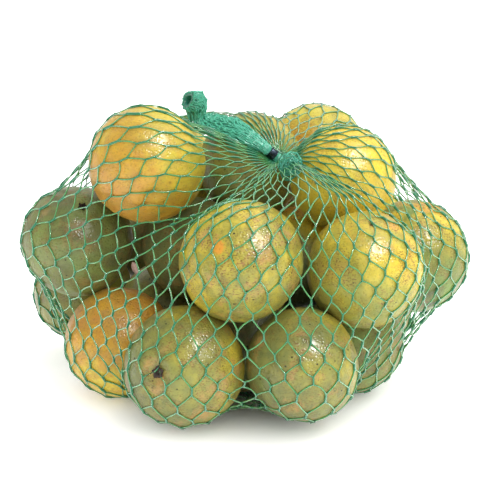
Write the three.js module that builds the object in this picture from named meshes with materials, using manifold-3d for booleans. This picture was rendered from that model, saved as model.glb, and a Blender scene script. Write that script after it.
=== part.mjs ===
// Net bag of oranges: a taut plastic net pulled over a heap of fruit and gathered to a crimped clip.
// Millimetres, +Z up. +X runs to the viewer's right and +Y away from the viewer.
// The origin lies under the middle of the bag, on the surface that it stands on.

import * as THREE from 'three';
import { mergeVertices } from 'three/addons/utils/BufferGeometryUtils.js';
import Module from 'manifold-3d';

// Driving dimensions of the net
const NET_THICKNESS = 1.2; // strand of the net, between the fruit and the outside
const NET_DETAIL = 21; // splits along each edge of the icosahedron that becomes the net
const LOOSE_NET_RADII = [180, 152, 125]; // the net before it is pulled tight
const LOOSE_NET_CENTRE = [0, 0, 90];
const PULL_STEPS = 380;
const PULL_STRENGTH = 0.5; // share of the way to the neighbours' middle, in each step
const SLACK = 0.35; // how far the net sinks in between the oranges, in each step
const GATHERED_REACH = 45; // nearer to the neck than this, bunched strands sink less
const BASE_PRESS = 4; // net nearer to the ground than this lies flat on it

// Driving dimensions of the gathered neck, the tail and its knob
const NECK_ANCHOR = [23, -9, 149]; // where the net's strands come together
const NECK_ROOT = [29, -2, 138]; // inside the bag, so that neck and net are one body
const CLIP_CENTRE = [19, -10, 152.5];
const TAIL_PATH = [
  [12.5, -9.5, 157.5],
  [5, -8, 162],
  [-1, -5.5, 165],
  [-8, -0.5, 167],
  [-15.5, 5.5, 168],
  [-22.5, 9, 168.5],
  [-27, 10.5, 170.5],
  [-29, 10.5, 175],
  [-30, 10, 180],
  [-32, 9, 188],
];
const KNOB_HOLLOW = 7; // depth of the folded-in end of the knob
const TAIL_SIDES = 24;
const TAIL_PLEATS = 6;
const PLEAT_DEPTH = 0.1; // share of the tail's radius
// Radius of the gathered net, by the share of its length from the root to the knob's end
const TAIL_GIRTH = [
  { along: 0, radius: 5 },
  { along: 0.08, radius: 4.2 },
  { along: 0.14, radius: 2.9 },
  { along: 0.21, radius: 2.7 },
  { along: 0.26, radius: 2.9 },
  { along: 0.3, radius: 3.5 },
  { along: 0.39, radius: 4.8 },
  { along: 0.47, radius: 5.8 },
  { along: 0.56, radius: 6.5 },
  { along: 0.66, radius: 6.6 },
  { along: 0.74, radius: 6.4 },
  { along: 0.8, radius: 5.9 },
  { along: 0.85, radius: 5.7 },
  { along: 0.9, radius: 6.4 },
  { along: 0.95, radius: 7.2 },
  { along: 0.98, radius: 7.2 },
  { along: 1, radius: 6.2 },
];
const KNOB_HOLLOW_RADIUS = 4;

// Tuft of slack net folded up beside the neck
const TUFT_CENTRE = [30, -18, 146];
const TUFT_RADII = [7, 5.5, 6.5];
const TUFT_DETAIL = 3;

// Driving dimensions of the metal clip, a flat strip crimped round the neck
const CLIP_BORE = 3.3;
const CLIP_WALL = 1.4;
const CLIP_WIDTH = 4.5;
const CLIP_CORNER = 0.5;
const CLIP_SIDES = 20;
const CLIP_SQUASH = 0.82; // the crimp leaves the ring a little flatter than it is wide
const CLEARANCE = 0.3; // between the net and the clip

// The oranges that give the bag its bumps: middle and diameter before they settle
const SETTLE_ROUNDS = 60;
const FRUIT = [
  { name: 'front_left', at: [-34, -84, 37], across: 71 },
  { name: 'front_right', at: [36, -86, 39], across: 67 },
  { name: 'low_left', at: [-77, -29, 34], across: 68 },
  { name: 'low_right', at: [70, -24, 33], across: 65 },
  { name: 'low_left_back', at: [-111, 61, 46], across: 69 },
  { name: 'low_middle', at: [-1, -22, 34], across: 68 },
  { name: 'low_back_left', at: [-48, 32, 37], across: 68 },
  { name: 'low_back_right', at: [19, 64, 35], across: 68 },
  { name: 'low_right_back', at: [82, 41, 34], across: 66 },
  { name: 'centre', at: [0, -81, 100], across: 72 },
  { name: 'right', at: [74, -60, 89], across: 70 },
  { name: 'far_right', at: [109, 1, 83], across: 72 },
  { name: 'left', at: [-105, -9, 96], across: 70 },
  { name: 'mid_left', at: [-32, -5, 90], across: 65 },
  { name: 'mid_right', at: [38, 14, 80], across: 66 },
  { name: 'back_low_left', at: [-57, 88, 68], across: 62 },
  { name: 'back_left', at: [-52, 58, 131], across: 68 },
  { name: 'back_middle', at: [6, 86, 98], across: 68 },
  { name: 'back_right', at: [81, 83, 86], across: 68 },
  { name: 'upper_left', at: [-58, -30, 148], across: 71 },
  { name: 'upper_right', at: [63, -11, 137], across: 66 },
  { name: 'top_back', at: [6, 22, 140], across: 68 },
  { name: 'top_far', at: [51, 70, 143], across: 64 },
];

const vector = (point) => new THREE.Vector3(...point);

// Pushes overlapping oranges apart, and up from the ground, until the heap lies still.
function settle(fruit) {
  const heap = fruit.map(({ at, across }) => ({ middle: vector(at), radius: across / 2 }));
  const between = new THREE.Vector3();
  for (let round = 0; round < SETTLE_ROUNDS; round += 1) {
    heap.forEach((orange, index) => {
      heap.slice(0, index).forEach((other) => {
        between.subVectors(orange.middle, other.middle);
        const overlap = orange.radius + other.radius - between.length();
        if (overlap > 0) {
          between.setLength(overlap / 2);
          orange.middle.add(between);
          other.middle.sub(between);
        }
      });
      orange.middle.z = Math.max(orange.middle.z, orange.radius + NET_THICKNESS);
    });
  }
  return heap;
}

// A geometry whose shared corners are single vertices, with nothing but positions left.
function closedGeometry(geometry) {
  geometry.deleteAttribute('normal');
  geometry.deleteAttribute('uv');
  return mergeVertices(geometry);
}

// For each vertex of a closed geometry, the vertices that an edge joins to it.
function neighbours(geometry) {
  const rings = Array.from({ length: geometry.attributes.position.count }, () => new Set());
  const corners = geometry.index.array;
  for (let i = 0; i < corners.length; i += 3) {
    for (let side = 0; side < 3; side += 1) {
      const from = corners[i + side];
      const to = corners[i + ((side + 1) % 3)];
      rings[from].add(to);
      rings[to].add(from);
    }
  }
  return rings.map((ring) => [...ring]);
}

// Moves a point of the net out of every orange and onto or above the ground.
function keepOutside(point, heap) {
  heap.forEach(({ middle, radius }) => {
    const reach = radius + NET_THICKNESS;
    if (point.distanceToSquared(middle) < reach * reach) {
      point.sub(middle).setLength(reach).add(middle);
    }
  });
  if (point.z < BASE_PRESS) point.z = 0;
}

// The net as a skin: it starts loose round the heap and is pulled tight over the oranges,
// flat on the ground below and drawn to the neck at the top.
function tautNet(heap) {
  const geometry = closedGeometry(new THREE.IcosahedronGeometry(1, NET_DETAIL));
  geometry.scale(...LOOSE_NET_RADII).translate(...LOOSE_NET_CENTRE);
  const rings = neighbours(geometry);
  const position = geometry.attributes.position;
  const anchor = vector(NECK_ANCHOR);
  let points = rings.map((ring, i) => new THREE.Vector3().fromBufferAttribute(position, i));
  points.forEach((point) => keepOutside(point, heap));
  const outward = anchor.clone().sub(vector(LOOSE_NET_CENTRE)).normalize();
  const height = (point) => point.clone().sub(vector(LOOSE_NET_CENTRE)).normalize().dot(outward);
  const tip = points.reduce((best, point, i) => (height(point) > height(points[best]) ? i : best), 0);
  const inward = new THREE.Vector3();
  for (let step = 1; step <= PULL_STEPS; step += 1) {
    const start = points[tip].clone();
    geometry.computeVertexNormals();
    points = points.map((point, i) => {
      const middle = new THREE.Vector3();
      rings[i].forEach((other) => middle.add(points[other]));
      middle.divideScalar(rings[i].length);
      inward.fromBufferAttribute(geometry.attributes.normal, i);
      const slack = SLACK * Math.min(1, point.distanceTo(anchor) / GATHERED_REACH);
      const moved = point.clone().lerp(middle, PULL_STRENGTH).addScaledVector(inward, -slack);
      keepOutside(moved, heap);
      return moved;
    });
    points[tip].copy(start).lerp(anchor, step / PULL_STEPS);
    points.forEach((point, i) => position.setXYZ(i, point.x, point.y, point.z));
  }
  return geometry;
}

// A closed body swept along a curve through rings of the given radii, with pleats along it.
function pleatedSweep(curve, stations) {
  const positions = [];
  const indices = [];
  const side = new THREE.Vector3();
  const frames = stations.map(({ along }) => {
    const tangent = curve.getTangentAt(along);
    const across = new THREE.Vector3(0, 1, 0).cross(tangent).normalize();
    return { middle: curve.getPointAt(along), across, over: tangent.cross(across).normalize() };
  });
  stations.forEach(({ radius }, ring) => {
    const { middle, across, over } = frames[ring];
    for (let k = 0; k < TAIL_SIDES; k += 1) {
      const angle = (2 * Math.PI * k) / TAIL_SIDES;
      const pleated = radius * (1 + PLEAT_DEPTH * Math.cos(TAIL_PLEATS * angle));
      side.copy(across).multiplyScalar(Math.cos(angle) * pleated);
      side.addScaledVector(over, Math.sin(angle) * pleated);
      positions.push(...side.add(middle).toArray());
    }
  });
  for (let ring = 0; ring + 1 < stations.length; ring += 1) {
    for (let k = 0; k < TAIL_SIDES; k += 1) {
      const a = ring * TAIL_SIDES + k;
      const b = ring * TAIL_SIDES + ((k + 1) % TAIL_SIDES);
      indices.push(a, b, a + TAIL_SIDES, b, b + TAIL_SIDES, a + TAIL_SIDES);
    }
  }
  [0, stations.length - 1].forEach((ring) => {
    const hub = positions.length / 3;
    positions.push(...frames[ring].middle.toArray());
    for (let k = 0; k < TAIL_SIDES; k += 1) {
      const a = ring * TAIL_SIDES + k;
      const b = ring * TAIL_SIDES + ((k + 1) % TAIL_SIDES);
      indices.push(hub, ...(ring === 0 ? [b, a] : [a, b]));
    }
  });
  const geometry = new THREE.BufferGeometry();
  geometry.setAttribute('position', new THREE.Float32BufferAttribute(positions, 3));
  geometry.setIndex(indices);
  return geometry;
}

// The gathered net: from inside the bag through the clip, along the tail to the folded knob.
function gatheredTail() {
  const path = [NECK_ROOT, NECK_ANCHOR, CLIP_CENTRE, ...TAIL_PATH].map(vector);
  const curve = new THREE.CatmullRomCurve3(path, false, 'centripetal');
  const hollowEnd = 1 - KNOB_HOLLOW / curve.getLength();
  const hollow = [
    { along: (1 + hollowEnd) / 2, radius: KNOB_HOLLOW_RADIUS },
    { along: hollowEnd, radius: KNOB_HOLLOW_RADIUS / 2 },
  ];
  return pleatedSweep(curve, [...TAIL_GIRTH, ...hollow]);
}

// The tuft of slack net beside the neck.
function slackTuft() {
  const geometry = closedGeometry(new THREE.IcosahedronGeometry(1, TUFT_DETAIL));
  return geometry.scale(...TUFT_RADII).translate(...TUFT_CENTRE);
}

// The crimped ring round the neck, grown by the given amount on every side.
function clipRing(grow) {
  const inner = CLIP_BORE - grow;
  const outer = CLIP_BORE + CLIP_WALL + grow;
  const half = CLIP_WIDTH / 2 + grow;
  const profile = [
    [inner, -half],
    [outer - CLIP_CORNER, -half],
    [outer, CLIP_CORNER - half],
    [outer, half - CLIP_CORNER],
    [outer - CLIP_CORNER, half],
    [inner, half],
    [inner, -half],
  ].map(([radius, height]) => new THREE.Vector2(radius, height));
  const geometry = closedGeometry(new THREE.LatheGeometry(profile, CLIP_SIDES));
  const along = vector(TAIL_PATH[0]).sub(vector(NECK_ANCHOR)).normalize();
  const turn = new THREE.Quaternion().setFromUnitVectors(new THREE.Vector3(0, 1, 0), along);
  return geometry.scale(1, 1, CLIP_SQUASH).applyQuaternion(turn).translate(...CLIP_CENTRE);
}

const wasm = await Module();
wasm.setup();

// A closed geometry as a solid that can be joined and cut.
function solid(geometry) {
  return new wasm.Manifold(new wasm.Mesh({
    numProp: 3,
    vertProperties: new Float32Array(geometry.attributes.position.array),
    triVerts: new Uint32Array(geometry.index.array),
  }));
}

// A joined or cut solid as a named mesh of the scene.
function meshOf(name, body, material) {
  const { vertProperties, triVerts } = body.getMesh();
  const geometry = new THREE.BufferGeometry();
  geometry.setAttribute('position', new THREE.BufferAttribute(vertProperties, 3));
  geometry.setIndex(new THREE.BufferAttribute(triVerts, 1));
  geometry.computeVertexNormals();
  const mesh = new THREE.Mesh(geometry, material);
  mesh.name = name;
  return mesh;
}

const netPlastic = new THREE.MeshStandardMaterial({ color: 0x55aa87, roughness: 0.5, metalness: 0 });
const clipSteel = new THREE.MeshStandardMaterial({ color: 0x39424c, roughness: 0.35, metalness: 1 });

const heap = settle(FRUIT);
const bag = solid(tautNet(heap))
  .add(solid(gatheredTail()))
  .add(solid(slackTuft()))
  .subtract(solid(clipRing(CLEARANCE)));

const netBagOfOranges = new THREE.Group();
netBagOfOranges.add(meshOf('net_bag', bag, netPlastic));
netBagOfOranges.add(meshOf('closure_clip', solid(clipRing(0)), clipSteel));

export default netBagOfOranges;
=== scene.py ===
"""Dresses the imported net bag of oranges: real fruit in an extruded diamond net, closed by a crimped clip.

Sizes are millimetres here and become metres as a mesh is made. X runs to the viewer's right, Y away from
the viewer and Z up, with the origin on the floor under the middle of the bag.
"""

import logging
import math
from dataclasses import dataclass, field
from enum import Enum

import bpy
import numpy as np
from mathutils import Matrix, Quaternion, Vector
from mathutils.bvhtree import BVHTree


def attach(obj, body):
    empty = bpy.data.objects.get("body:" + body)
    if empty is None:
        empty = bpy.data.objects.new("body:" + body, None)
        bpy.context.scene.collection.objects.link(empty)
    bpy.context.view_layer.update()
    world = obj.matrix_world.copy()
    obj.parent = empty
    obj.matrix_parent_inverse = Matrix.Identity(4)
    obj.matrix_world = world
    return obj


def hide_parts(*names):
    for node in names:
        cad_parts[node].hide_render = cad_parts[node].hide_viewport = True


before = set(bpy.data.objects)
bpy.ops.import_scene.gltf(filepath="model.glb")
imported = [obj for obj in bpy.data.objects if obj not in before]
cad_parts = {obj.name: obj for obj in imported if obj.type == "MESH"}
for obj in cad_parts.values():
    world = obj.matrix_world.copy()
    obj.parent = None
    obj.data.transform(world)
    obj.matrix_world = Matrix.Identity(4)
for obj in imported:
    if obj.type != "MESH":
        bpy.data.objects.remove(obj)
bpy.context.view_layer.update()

Point = tuple[float, float, float]
Span = tuple[float, float]
Colour = tuple[float, float, float, float]
Tree = bpy.types.NodeTree
Socket = bpy.types.NodeSocket
Feed = float | tuple[float, ...] | np.ndarray | Socket

LOG = logging.getLogger("net_bag")
MM = 0.001
BODY = "root"
BAG_NODE = "net_bag"
CLIP_NODE = "closure_clip"
NET_THICKNESS = 1.2
UP = np.array([0.0, 0.0, 1.0])
TINY = 1e-9


class Slot(Enum):
    """The record's finishes that a piece can take."""

    NET = "green_net"
    PEEL = "orange_peel"
    CLIP = "clip_metal"


def linear(colour: str) -> Colour:
    """Turns an sRGB hex colour into linear light.

    Args:
        colour: six hex digits after a hash sign.

    Returns:
        Red, green, blue and full alpha.
    """
    shares = [int(colour[i:i + 2], 16) / 255 for i in (1, 3, 5)]
    bent = [s / 12.92 if s <= 0.04045 else ((s + 0.055) / 1.055) ** 2.4 for s in shares]
    return (*bent, 1.0)


def feed(tree: Tree, node: bpy.types.Node, sockets: dict[int | str, Feed]) -> None:
    """Fills a node's inputs.

    Args:
        tree: the node tree that it is in.
        node: the node.
        sockets: an input's name or number, to a value or to the output that feeds it.
    """
    for name, value in sockets.items():
        if isinstance(value, Socket):
            tree.links.new(value, node.inputs[name])
        else:
            node.inputs[name].default_value = value


def add_node(tree: Tree, kind: str, sockets: dict[int | str, Feed] | None = None,
             **settings: str) -> bpy.types.Node:
    """Adds one node, with its settings made and its inputs filled.

    Args:
        tree: the node tree that it joins.
        kind: the node's type name.
        sockets: an input's name or number, to a value or to the output that feeds it.
        **settings: properties of the node itself.

    Returns:
        The new node.
    """
    node = tree.nodes.new(kind)
    for name, value in settings.items():
        setattr(node, name, value)
    feed(tree, node, sockets or {})
    return node


def new_material(name: str) -> tuple[bpy.types.Material, Tree, bpy.types.Node]:
    """Makes a node material.

    Args:
        name: the real material and how it was made.

    Returns:
        The material, its tree and its main shader.
    """
    material = bpy.data.materials.new(name)
    material.use_nodes = True
    return material, material.node_tree, material.node_tree.nodes["Principled BSDF"]


def millimetres(tree: Tree) -> Socket:
    """Gives Object coordinates in millimetres, so that pattern scales are one over a real size."""
    place = add_node(tree, "ShaderNodeTexCoord").outputs["Object"]
    return add_node(tree, "ShaderNodeVectorMath", {0: place, "Scale": 1 / MM}, operation="SCALE").outputs[0]


def stretched(tree: Tree, place: Socket, scale: Point) -> Socket:
    """Scales coordinates by a share of its own along each axis."""
    return add_node(tree, "ShaderNodeMapping", {"Vector": place, "Scale": scale}).outputs[0]


def noise(tree: Tree, place: Socket, size: float, detail: float = 2.0, roughness: float = 0.5,
          distortion: float = 0.0) -> Socket:
    """Makes soft noise.

    Args:
        tree: the node tree.
        place: coordinates in millimetres.
        size: how wide its patches are, in millimetres.
        detail: how many finer layers it has.
        roughness: how strong the finer layers are.
        distortion: how far its patches are pulled about.

    Returns:
        The noise's output.
    """
    return add_node(tree, "ShaderNodeTexNoise", {
        "Vector": place, "Scale": 1 / size, "Detail": detail,
        "Roughness": roughness, "Distortion": distortion}).outputs[0]


def ranged(tree: Tree, value: Socket, source: Span = (0.0, 1.0), target: Span = (0.0, 1.0),
           ease: str = "LINEAR") -> Socket:
    """Maps a value from one range to another, and holds it at the ends.

    Args:
        tree: the node tree.
        value: the value's output.
        source: the range that it comes from.
        target: the range that it goes to.
        ease: how it runs from end to end.

    Returns:
        The mapped value's output.
    """
    ends = {1: source[0], 2: source[1], 3: target[0], 4: target[1]}
    return add_node(tree, "ShaderNodeMapRange", {0: value, **ends}, interpolation_type=ease).outputs[0]


def scaled(tree: Tree, value: Socket, share: Feed, added: Feed = 0.0) -> Socket:
    """Multiplies a value by a share and adds another to it.

    Args:
        tree: the node tree.
        value: the value's output.
        share: what it is multiplied by, a number or an output.
        added: what is added, a number or an output.

    Returns:
        The sum's output.
    """
    terms = {0: value, 1: share, 2: added}
    return add_node(tree, "ShaderNodeMath", terms, operation="MULTIPLY_ADD").outputs[0]


def mixed(tree: Tree, share: Feed, under: Feed, over: Feed) -> Socket:
    """Lays one colour over another.

    Args:
        tree: the node tree.
        share: how much of the upper colour shows, a number or an output.
        under: the lower colour or its output.
        over: the upper colour or its output.

    Returns:
        The mixed colour's output.
    """
    return add_node(tree, "ShaderNodeMix", {0: share, 6: under, 7: over}, data_type="RGBA").outputs[2]


def start_piece() -> None:
    """Leaves edit mode and deselects all, so that an operator acts on the new piece alone."""
    if bpy.context.mode != "OBJECT":
        bpy.ops.object.mode_set(mode="OBJECT")
    bpy.ops.object.select_all(action="DESELECT")


def choose(*pieces: bpy.types.Object) -> None:
    """Selects some pieces and no others.

    Args:
        *pieces: the pieces, of which the first becomes the active one.
    """
    start_piece()
    for piece in pieces:
        piece.select_set(True)
    bpy.context.view_layer.objects.active = pieces[0]


def join(*pieces: bpy.types.Object) -> None:
    """Joins pieces into the first of them."""
    choose(*pieces)
    bpy.ops.object.join()


def edit_all() -> None:
    """Opens the active piece's mesh for editing, all of it selected."""
    bpy.ops.object.mode_set(mode="EDIT")
    bpy.ops.mesh.select_all(action="SELECT")


def face_outward() -> None:
    """Turns the active piece's faces outward and leaves edit mode."""
    edit_all()
    bpy.ops.mesh.normals_make_consistent(inside=False)
    bpy.ops.object.mode_set(mode="OBJECT")


def apply_modifier(obj: bpy.types.Object, kind: str,
                   **settings: bool | float | str | bpy.types.Texture) -> None:
    """Adds a modifier to a piece and applies it.

    Args:
        obj: the piece.
        kind: the modifier's type name.
        **settings: the modifier's own settings.
    """
    choose(obj)
    modifier = obj.modifiers.new(kind.lower(), kind)
    for name, value in settings.items():
        setattr(modifier, name, value)
    bpy.ops.object.modifier_apply(modifier=modifier.name)


def settle_place(obj: bpy.types.Object) -> None:
    """Moves a piece's place, turn and scale into its mesh."""
    choose(obj)
    bpy.ops.object.transform_apply(location=True, rotation=True, scale=True)


def shade_smooth(obj: bpy.types.Object) -> None:
    """Shades all of a piece's faces smooth."""
    obj.data.polygons.foreach_set("use_smooth", [True] * len(obj.data.polygons))


def hand_over(obj: bpy.types.Object, node: str) -> None:
    """Parents a finished piece to the body, hides the CAD part that it replaces and logs its faces.

    Args:
        obj: the finished piece.
        node: the CAD node that it stands for.
    """
    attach(obj, BODY)
    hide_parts(node)
    LOG.info("%s: %d faces", obj.name, len(obj.data.polygons))


def mesh_piece(name: str, points: np.ndarray, faces: list[list[int]]) -> bpy.types.Object:
    """Makes a smooth piece from arrays.

    Args:
        name: the piece's name.
        points: its vertices in millimetres.
        faces: vertex numbers of each face, outward by the right hand.

    Returns:
        The linked object.
    """
    mesh = bpy.data.meshes.new(name)
    mesh.from_pydata((points * MM).tolist(), [], faces)
    obj = bpy.data.objects.new(name, mesh)
    shade_smooth(obj)
    mesh.update()
    bpy.context.scene.collection.objects.link(obj)
    return obj


def unit(vectors: np.ndarray) -> np.ndarray:
    """Scales vectors along the last axis to length one."""
    return vectors / (np.linalg.norm(vectors, axis=-1, keepdims=True) + 1e-12)


def weld_nearness(share: float | np.ndarray) -> float | np.ndarray:
    """Gives how near places between two welds are to either, from 0 midway to 1 at the weld."""
    return np.abs(2 * share - 1) ** 3


def smooth_path(points: np.ndarray, count: int) -> np.ndarray:
    """Runs a smooth curve through points.

    Args:
        points: the points in order, one a row.
        count: how many evenly spaced points to give back.

    Returns:
        Points on the curve, evenly spaced along it.
    """
    places_per_span = 24
    ends = np.vstack([2 * points[0] - points[1], points, 2 * points[-1] - points[-2]])
    share = np.linspace(0, 1, places_per_span, endpoint=False)[:, None]
    spans = []
    for a, b, c, d in zip(ends, ends[1:], ends[2:], ends[3:]):
        cubic = 3 * b - 3 * c + d - a
        square = 2 * a - 5 * b + 4 * c - d
        spans.append(b + 0.5 * share * (c - a + share * (square + share * cubic)))
    fine = np.vstack([*spans, points[-1:]])
    run = np.concatenate([[0], np.cumsum(np.linalg.norm(np.diff(fine, axis=0), axis=1))])
    even = np.linspace(0, run[-1], count)
    return np.stack([np.interp(even, run, fine[:, k]) for k in range(points.shape[1])], axis=1)


@dataclass(frozen=True)
class StudioCamera:
    """The camera that stands where the photograph was taken."""

    target: Point = (5, -41, 97.5)
    distance: float = 780
    elevation: float = 13
    focal_pixels: float = 1270
    picture_pixels: float = 500
    sensor: float = 36
    nearest: float = 50

    def place(self) -> np.ndarray:
        """Gives the camera's place in millimetres."""
        rise = math.radians(self.elevation)
        return np.array(self.target) + self.distance * np.array([0, -math.cos(rise), math.sin(rise)])

    def build(self) -> None:
        """Makes the camera and sets it as the scene's."""
        data = bpy.data.cameras.new("studio_camera")
        data.sensor_width = self.sensor
        data.lens = self.sensor * self.focal_pixels / self.picture_pixels
        data.clip_start = self.nearest * MM
        camera = bpy.data.objects.new("studio_camera", data)
        camera.location = Vector(self.place()) * MM
        camera.rotation_euler = (math.radians(90 - self.elevation), 0, 0)
        bpy.context.scene.collection.objects.link(camera)
        bpy.context.scene.camera = camera

    def sight(self, centre: np.ndarray) -> tuple[np.ndarray, np.ndarray, np.ndarray]:
        """Finds the directions in which the camera sees a fruit.

        Args:
            centre: the fruit's centre.

        Returns:
            The unit directions towards the camera, to the picture's right and up it.
        """
        toward = unit(self.place() - centre)
        across = unit(np.cross(UP, toward))
        return toward, across, np.cross(toward, across)

    def facing(self, centre: np.ndarray, right: float, up: float) -> np.ndarray:
        """Finds a direction out of a fruit from where it shows in the picture.

        Args:
            centre: the fruit's centre.
            right: how far right of the fruit's middle, in shares of its radius.
            up: how far above its middle, in shares of its radius.

        Returns:
            The unit direction from the centre.
        """
        toward, across, above = self.sight(centre)
        near = math.sqrt(max(0.0, 1 - right * right - up * up))
        return unit(right * across + up * above + near * toward)


CAMERA = StudioCamera()


@dataclass(frozen=True)
class Lamp:
    """A far light: the way to it, how wide it looks in degrees and how bright it is."""

    name: str
    direction: Point
    width: float
    strength: float

    def build(self) -> bpy.types.Object:
        """Makes the light.

        Returns:
            The light's object.
        """
        data = bpy.data.lights.new(self.name, "SUN")
        data.energy = self.strength
        data.angle = math.radians(self.width)
        lamp = bpy.data.objects.new(self.name, data)
        lamp.rotation_mode = "QUATERNION"
        lamp.rotation_quaternion = Vector(self.direction).to_track_quat("Z", "Y")
        bpy.context.scene.collection.objects.link(lamp)
        return lamp


@dataclass(frozen=True)
class Studio:
    """A white table and backdrop under a broad key, a top light and a small light that gives the glints."""

    floor_size: float = 40000
    sheet: tuple[str, str] = ("#F6F6F6", "#FAFAFA")
    sheet_grain: float = 40
    key: Lamp = Lamp("broad_key", (0.3, -0.54, 0.79), 85, 2.2)
    top: Lamp = Lamp("top_light", (0.42, 0.27, 0.87), 45, 1.7)
    glint: Lamp = Lamp("small_glint", (0.42, -0.5, 0.72), 13, 4.6)
    white: str = "#FFFFFF"
    room: float = 0.27
    backdrop: float = 0.95
    backdrop_edge: Span = (-0.1, 0.4)
    glow: float = 0.5
    glow_edge: Span = (52, 150)
    glow_shape: Point = (1.25, 1.0, 1.0)

    def table(self) -> None:
        """Makes the white table that the bag stands on, with a painted glow round the bag."""
        start_piece()
        bpy.ops.mesh.primitive_plane_add(size=self.floor_size * MM)
        floor = bpy.context.object
        floor.name = "studio_floor"
        material, tree, shader = new_material("opal_acrylic_painted_glow")
        # Painted glow: the sheet glows more away from the bag and not at all under it, so that the bag's
        # shadow stays pale and close.
        here = millimetres(tree)
        sheet = mixed(tree, noise(tree, here, self.sheet_grain), *map(linear, self.sheet))
        oval = stretched(tree, here, self.glow_shape)
        away = add_node(tree, "ShaderNodeVectorMath", {0: oval}, operation="LENGTH").outputs["Value"]
        painted_glow_ramp = ranged(tree, away, self.glow_edge, (0.0, self.glow), "SMOOTHSTEP")
        feed(tree, shader, {
            "Base Color": sheet, "Roughness": 0.95, "Specular IOR Level": 0.1,
            "Emission Color": linear(self.white), "Emission Strength": painted_glow_ramp})
        floor.data.materials.append(material)

    def surround(self) -> None:
        """Makes the room: dim on the viewer's side, with a white backdrop behind the bag."""
        world = bpy.data.worlds.new("studio_room")
        world.use_nodes = True
        tree = world.node_tree
        way = add_node(tree, "ShaderNodeTexCoord").outputs["Generated"]
        parts = add_node(tree, "ShaderNodeSeparateXYZ", {0: way})
        light = ranged(tree, parts.outputs["Y"], self.backdrop_edge, (self.room, self.backdrop))
        feed(tree, tree.nodes["Background"], {"Color": linear(self.white), "Strength": light})
        bpy.context.scene.world = world

    def build(self) -> None:
        """Makes the table, the room and the lights, and sets how light becomes picture colour."""
        self.table()
        self.surround()
        self.key.build().visible_glossy = False
        self.top.build().visible_glossy = False
        self.glint.build().visible_diffuse = False
        bpy.context.scene.view_settings.view_transform = "Standard"


class Blemish(Enum):
    """The colours of the marks that a peel carries."""

    SCAR = "#1E1814"
    SMUDGE = "#6B5734"
    RUST = "#6F4C26"
    BLUSH = "#DE9638"
    CORK = "#BC9157"


@dataclass(frozen=True)
class Mark:
    """One mark on a peel, placed as the viewer sees it, in shares of the fruit's radius."""

    right: float
    up: float
    size: float
    kind: Blemish
    strength: float = 0.9


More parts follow.
